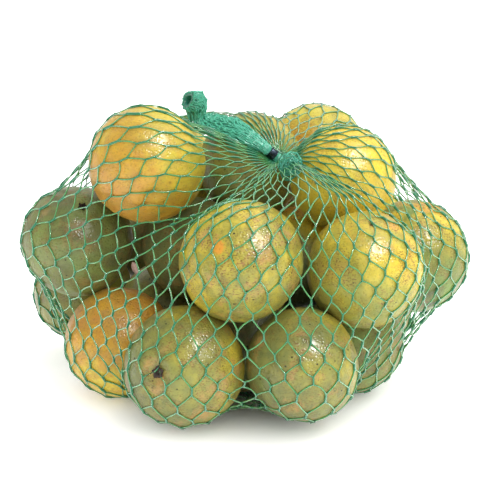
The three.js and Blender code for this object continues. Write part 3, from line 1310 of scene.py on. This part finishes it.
    def build(self, heap: Heap, fruit: BVHTree, plastic: bpy.types.Material) -> None:
        """Pulls the net over the fruit and sweeps its strands.

        Args:
            heap: the settled fruit.
            fruit: the fruit's surface.
            plastic: the net's material.
        """
        self.loosen()
        self.draw_taut(heap)
        draw = np.random.default_rng(self.seed + 1)
        families = (("outer", 0, self.lift, self.overlap), ("inner", -1, -self.lift, 0.0))
        for side, step, lift, overlap in families:
            paths, offs, weld = self.family(step, lift, draw)
            gap = self.radius * self.hug + overlap * weld
            self.clear_of_fruit(paths, offs, gap, fruit)
            rows = np.linspace(0, self.rows, paths.shape[1])
            slim = 1 - self.neck_slimness * (1 - np.clip(rows / self.slim_rows, 0, 1))
            wobble = 1 + self.wobble * draw.standard_normal(weld.shape)
            radii = self.radius * (self.span_share + self.weld_swell * weld) * slim * wobble
            obj = lay_tubes(f"net_strands_{side}", paths, radii, offs, weld)
            obj.data.materials.append(plastic)
            hand_over(obj, BAG_NODE)


@dataclass
class Tail:
    """The bunched net past the clip, laid flat over the fruit behind it and turned up into a hollow knob."""

    half_width: tuple[float, ...] = (3.2, 2.9, 3.8, 5.6, 7.2, 8.6, 9.0, 8.6, 7.2, 6.4, 7.3, 7.8, 6.3)
    half_depth: tuple[float, ...] = (3.2, 2.4, 2.8, 3.2, 3.6, 4.0, 4.2, 4.4, 5.0, 5.7, 6.8, 7.3, 6.1)
    facing: Point = (0.0, -0.7, 0.7)
    rings: int = 72
    sides: int = 60
    pleats: int = 9
    pleat_depth: float = 0.09
    pleat_stray: float = 1.3
    lumps: float = 0.09
    twist: float = 1.2
    hollow_radius: float = 3.9
    hollow_depth: float = 8.0
    hollow_taper: float = 0.5
    core_share: float = 0.9
    strands: int = 38
    rows: int = 17
    places_per_row: int = 4
    winding: float = 2.0
    wander: float = 0.045
    stray: float = 0.06
    neck_places: int = 8
    inner_reach: float = 0.95
    strand_radius: float = 0.4
    span_share: float = 0.8
    weld_swell: float = 0.9
    strand_sides: int = 5
    seed: int = 11

    def route(self, count: int) -> tuple[np.ndarray, np.ndarray]:
        """Follows the neck, clip and tail.

        Args:
            count: how many places to give.

        Returns:
            Points along the middle, and the half width and half depth at each.
        """
        stops = np.vstack([NECK_ANCHOR, CLIP_CENTRE, TAIL_PATH])
        halves = np.stack([self.half_width, self.half_depth], axis=1)
        line = smooth_path(np.hstack([stops, halves]), count)
        return line[:, :3], line[:, 3:]

    def frames(self, line: np.ndarray) -> tuple[np.ndarray, np.ndarray]:
        """Carries two directions across the tail along it without twist.

        Args:
            line: points along the middle.

        Returns:
            The direction along the flat and the direction off it, at each point.
        """
        along = unit(np.gradient(line, axis=0))
        off = np.array(self.facing)
        offs = []
        for direction in along:
            off = unit(off - direction * (off @ direction))
            offs.append(off)
        offs = np.array(offs)
        return np.cross(offs, along), offs

    def pleat(self, angles: np.ndarray, share: np.ndarray) -> np.ndarray:
        """Gives how far out the pleated outline lies.

        Args:
            angles: where round the tail.
            share: how far along it, from 0 to 1.

        Returns:
            The reach as a share of the smooth outline's.
        """
        turn = angles + self.twist * share
        fold = np.cos(self.pleats * turn + self.pleat_stray * np.sin(2 * turn + 4 * share))
        lump = np.sin(2 * turn - 11 * share) + np.sin(3 * turn + 23 * share)
        return 1 - self.pleat_depth * (0.5 - 0.5 * fold) + self.lumps * lump * share

    def core(self) -> bpy.types.Object:
        """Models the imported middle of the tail, extruded ring by ring and folded in at the mouth.

        Returns:
            The core, in its place.
        """
        line, halves = self.route(self.rings)
        flat, off = self.frames(line)
        run = np.linalg.norm(np.diff(line, axis=0), axis=1).sum()
        stations = [(k, halves[k] * self.core_share) for k in range(self.rings)]
        back = int(self.hollow_depth / run * self.rings)
        for k in range(back + 1):
            mouth = self.hollow_radius * (1 - self.hollow_taper * k / back)
            stations.append((self.rings - 1 - k, np.full(2, mouth)))
        start_piece()
        bpy.ops.mesh.primitive_circle_add(vertices=self.sides, radius=MM, fill_type="NGON")
        obj = bpy.context.object
        obj.name = "net_tail_core"
        edit_all()
        for _ in stations[1:]:
            bpy.ops.mesh.extrude_region_move(TRANSFORM_OT_translate={"value": (0, 0, MM)})
        bpy.ops.object.mode_set(mode="OBJECT")
        for vertex in obj.data.vertices:
            k, (wide, deep) = stations[round(vertex.co.z / MM)]
            angle = math.atan2(vertex.co.y, vertex.co.x)
            reach = self.pleat(np.array(angle), np.array(k / self.rings))
            across = wide * math.cos(angle) * flat[k] + deep * math.sin(angle) * off[k]
            vertex.co = Vector(line[k] + reach * across) * MM
        face_outward()
        return obj

    def lattice(self, step: int, reach: float, draw: np.random.Generator) -> tuple[np.ndarray, ...]:
        """Lays one family of strands along the tail.

        Args:
            step: which way the strands wind, 1 or -1.
            reach: how far out the layer lies, as a share of the outline.
            draw: the seeded numbers for the strands' wander.

        Returns:
            Points, normals and nearness to a weld, by strand and place along it.
        """
        count = self.rows * self.places_per_row + 1
        line, halves = self.route(count)
        flat, off = self.frames(line)
        share = np.linspace(0, 1, count)
        row = share * self.rows
        base = 2 * np.pi * np.arange(self.strands) / self.strands
        wander = np.cumsum(draw.standard_normal((self.strands, count)), axis=1) * self.wander
        angle = base[:, None] + step * self.winding * math.pi / self.strands * row[None, :] + wander
        out = reach * (1 + self.stray * draw.standard_normal((self.strands, count)))
        out[:, :self.neck_places] = np.minimum(out[:, :self.neck_places], self.inner_reach)
        out *= self.pleat(angle, share[None, :])
        wide = (halves[:, 0] * np.cos(angle) * out)[..., None] * flat
        deep = (halves[:, 1] * np.sin(angle) * out)[..., None] * off
        weld = np.tile(weld_nearness(row % 1), (self.strands, 1))
        return line + wide + deep, unit(wide + deep), weld

    def build(self, packed: bpy.types.Material, depths: bpy.types.Material) -> None:
        """Models the tail's core and the strands that lie over it.

        Args:
            packed: the material of strands packed tight.
            depths: the same plastic, darkened as painted shade for the core, where little light reaches.
        """
        core = self.core()
        core.data.materials.append(depths)
        shade_smooth(core)
        hand_over(core, BAG_NODE)
        draw = np.random.default_rng(self.seed)
        for side, step, reach in (("outer", 1, 1.0), ("inner", -1, self.inner_reach)):
            paths, offs, weld = self.lattice(step, reach, draw)
            radii = self.strand_radius * (self.span_share + self.weld_swell * weld)
            obj = lay_tubes(f"net_tail_{side}", paths, radii, offs, weld, self.strand_sides)
            obj.data.materials.append(packed)
            hand_over(obj, BAG_NODE)


@dataclass
class Tuft:
    """The slack puff of net beside the clip, crumpled in on itself."""

    centre: Point = (29.5, -31, 147.5)
    radii: Point = (8.0, 6.4, 9.2)
    layers: tuple[float, ...] = (1.0, 0.84, 0.68, 0.5)
    layer_turn: Span = (0.7, 1.1)
    heading: float = 0.4
    crease: float = 4.5
    crumple: float = 6.0
    sink: float = 0.62
    strand: float = 0.7

    def build(self, plastic: bpy.types.Material) -> None:
        """Models the puff as crumpled balls of net, each smaller than the last and turned within it.

        Args:
            plastic: the net's material.
        """
        creases = bpy.data.textures.new("net_creases", "CLOUDS")
        creases.noise_scale = self.crease * MM
        balls = []
        for layer, share in enumerate(self.layers):
            start_piece()
            bpy.ops.mesh.primitive_ico_sphere_add(subdivisions=2, radius=MM)
            ball = bpy.context.object
            ball.scale = Vector(self.radii) * share
            ball.location = Vector(self.centre) * MM
            ball.rotation_euler = (self.layer_turn[0] * layer, self.layer_turn[1] * layer, self.heading)
            settle_place(ball)
            apply_modifier(ball, "DISPLACE", texture=creases, texture_coords="GLOBAL",
                           strength=self.crumple * MM, mid_level=self.sink)
            apply_modifier(ball, "WIREFRAME", thickness=self.strand * MM, use_even_offset=False)
            balls.append(ball)
        join(*balls)
        puff = balls[0]
        puff.name = "net_tuft"
        puff.data.materials.append(plastic)
        shade_smooth(puff)
        hand_over(puff, BAG_NODE)


@dataclass(frozen=True)
class DryScrap:
    """A curled scrap of dried skin, caught between two of the fruit on the left."""

    place: Point = (-68, -15, 79.7)
    length: float = 9.5
    width: float = 4.2
    curl: float = 1.4
    wave: float = 0.6
    tip: float = 0.05
    thickness: float = 0.5
    tilt: float = -20
    pale: str = "#F2D2C8"
    dark: str = "#B8927E"
    crease: float = 3

    def material(self) -> bpy.types.Material:
        """Makes the dried skin's material.

        Returns:
            The material.
        """
        material, tree, shader = new_material("dried_fruit_skin")
        # Dried out, the skin is pinkish and matt, and browner in its creases.
        creases = noise(tree, millimetres(tree), self.crease, detail=4.0)
        skin = mixed(tree, ranged(tree, creases, (0.4, 0.7)), linear(self.pale), linear(self.dark))
        feed(tree, shader, {"Base Color": skin, "Roughness": 0.7})
        return material

    def build(self) -> None:
        """Models the scrap: a leaf shape with two points, curled across, waved along and thickened."""
        start_piece()
        bpy.ops.mesh.primitive_grid_add(x_subdivisions=10, y_subdivisions=20, size=MM)
        scrap = bpy.context.object
        for vertex in scrap.data.vertices:
            across, along = vertex.co.x / MM, vertex.co.y / MM
            taper = max(0.0, math.cos(math.pi * along)) ** 0.8 + self.tip
            bend = self.curl * (math.cos(3 * across * taper) + self.wave * math.sin(5 * along))
            vertex.co = Vector((across * taper * self.width, along * self.length, bend)) * MM
        apply_modifier(scrap, "SOLIDIFY", thickness=self.thickness * MM, offset=0.0)
        scrap.name = "dry_scrap"
        scrap.rotation_euler = (math.radians(90), math.radians(self.tilt), 0)
        scrap.location = Vector(self.place) * MM
        settle_place(scrap)
        scrap.data.materials.append(self.material())
        shade_smooth(scrap)
        hand_over(scrap, BAG_NODE)


@dataclass(frozen=True)
class ClipMetal:
    """Crimped steel strip, dark with its mill skin and scratched bright where the tool closed it."""

    skin: str = "#2E3742"
    bare: str = "#8D98A3"
    scratch: float = 0.35
    scratch_shape: Point = (1.0, 0.15, 1.0)
    scratched: Span = (0.58, 0.7)
    polish: Span = (0.45, 0.25)

    def material(self) -> bpy.types.Material:
        """Makes the clip's metal.

        Returns:
            The material.
        """
        material, tree, shader = new_material("crimped_dark_steel_strip")
        # Mill skin keeps the metal dark, and the crimp's scratches catch the light.
        lines = noise(tree, stretched(tree, millimetres(tree), self.scratch_shape), self.scratch)
        steel = mixed(tree, ranged(tree, lines, self.scratched), linear(self.skin), linear(self.bare))
        feed(tree, shader, {
            "Base Color": steel, "Roughness": ranged(tree, lines, target=self.polish), "Metallic": 1.0})
        return material


@dataclass
class ClosureClip:
    """The metal band crimped round the neck, with its ends lapped."""

    bore: float = 3.3
    wall: float = 1.1
    width: float = 4.5
    squash: float = 0.82
    sides: int = 40
    cuts: int = 3
    waist: float = 0.93
    dents: int = 4
    dent_depth: float = 0.06
    edge: float = 0.25
    lap_thickness: float = 1.0
    lap_length: float = 3.4
    lap_share: float = 0.96
    lap_edge: float = 0.3
    lap_turn: float = -70
    smooth_angle: float = 40

    def band(self) -> bpy.types.Object:
        """Models the band upright: a ring pinched in at its waist and dented by the crimping tool.

        Returns:
            The band about the origin.
        """
        start_piece()
        bpy.ops.mesh.primitive_cylinder_add(
            vertices=self.sides, radius=(self.bore + self.wall) * MM, depth=self.width * MM,
            end_fill_type="NOTHING")
        band = bpy.context.object
        edit_all()
        bpy.ops.mesh.subdivide(number_cuts=self.cuts)
        bpy.ops.object.mode_set(mode="OBJECT")
        for vertex in band.data.vertices:
            middle = 1 - (2 * vertex.co.z / (self.width * MM)) ** 2
            angle = math.atan2(vertex.co.y, vertex.co.x)
            dent = 1 - self.dent_depth * max(0.0, math.cos(self.dents * angle)) ** 4
            pinch = (1 - (1 - self.waist) * max(0.0, middle)) * dent
            vertex.co.x *= pinch
            vertex.co.y *= pinch
        apply_modifier(band, "SOLIDIFY", thickness=self.wall * MM, offset=-1.0)
        apply_modifier(band, "BEVEL", width=self.edge * MM, segments=2, limit_method="ANGLE")
        return band

    def lap(self) -> bpy.types.Object:
        """Models the strip's end, lapped over the upright band.

        Returns:
            The lap on the band's right.
        """
        start_piece()
        bpy.ops.mesh.primitive_cube_add(size=MM, location=((self.bore + self.wall) * MM, 0, 0))
        lap = bpy.context.object
        lap.scale = (self.lap_thickness, self.lap_length, self.width * self.lap_share)
        settle_place(lap)
        apply_modifier(lap, "BEVEL", width=self.lap_edge * MM, segments=3)
        return lap

    def build(self, metal: bpy.types.Material) -> None:
        """Models the band and its lap, and sets it on the neck.

        Args:
            metal: the clip's material.
        """
        clip = self.band()
        join(clip, self.lap())
        clip.name = "crimped_clip"
        clip.scale = (1, self.squash, 1)
        settle_place(clip)
        upright = Vector(UP).rotation_difference(Vector(NECK_AXIS))
        clip.rotation_mode = "QUATERNION"
        clip.rotation_quaternion = upright @ Quaternion(Vector(UP), math.radians(self.lap_turn))
        clip.location = Vector(CLIP_CENTRE) * MM
        settle_place(clip)
        clip.data.materials.append(metal)
        bpy.ops.object.shade_smooth_by_angle(angle=math.radians(self.smooth_angle))
        hand_over(clip, CLIP_NODE)


def main() -> None:
    """Builds the studio, the fruit, the net and the clip, in that order."""
    logging.basicConfig(level=logging.INFO, format="%(name)s %(message)s")
    CAMERA.build()
    Studio().build()
    heap = Heap()
    heap.settle()
    fruit = heap.build()
    plastic = NetPlastic().material()
    packed = NetPlastic(
        "packed_sea_green_polyethylene", "#4FB494", "#5BBD9F", roughness=0.25, clearness=0.0).material()
    # Painted shade: the tail's core takes a darker copy of the net's plastic for the shade inside the bunch.
    depths = NetPlastic("sea_green_polyethylene_painted_shade", "#2A7460", "#34836C", clearness=0.0).material()
    NetBag().build(heap, fruit, plastic)
    Tail().build(packed, depths)
    Tuft().build(packed)
    DryScrap().build()
    ClosureClip().build(ClipMetal().material())


if __name__ == "__main__":
    main()
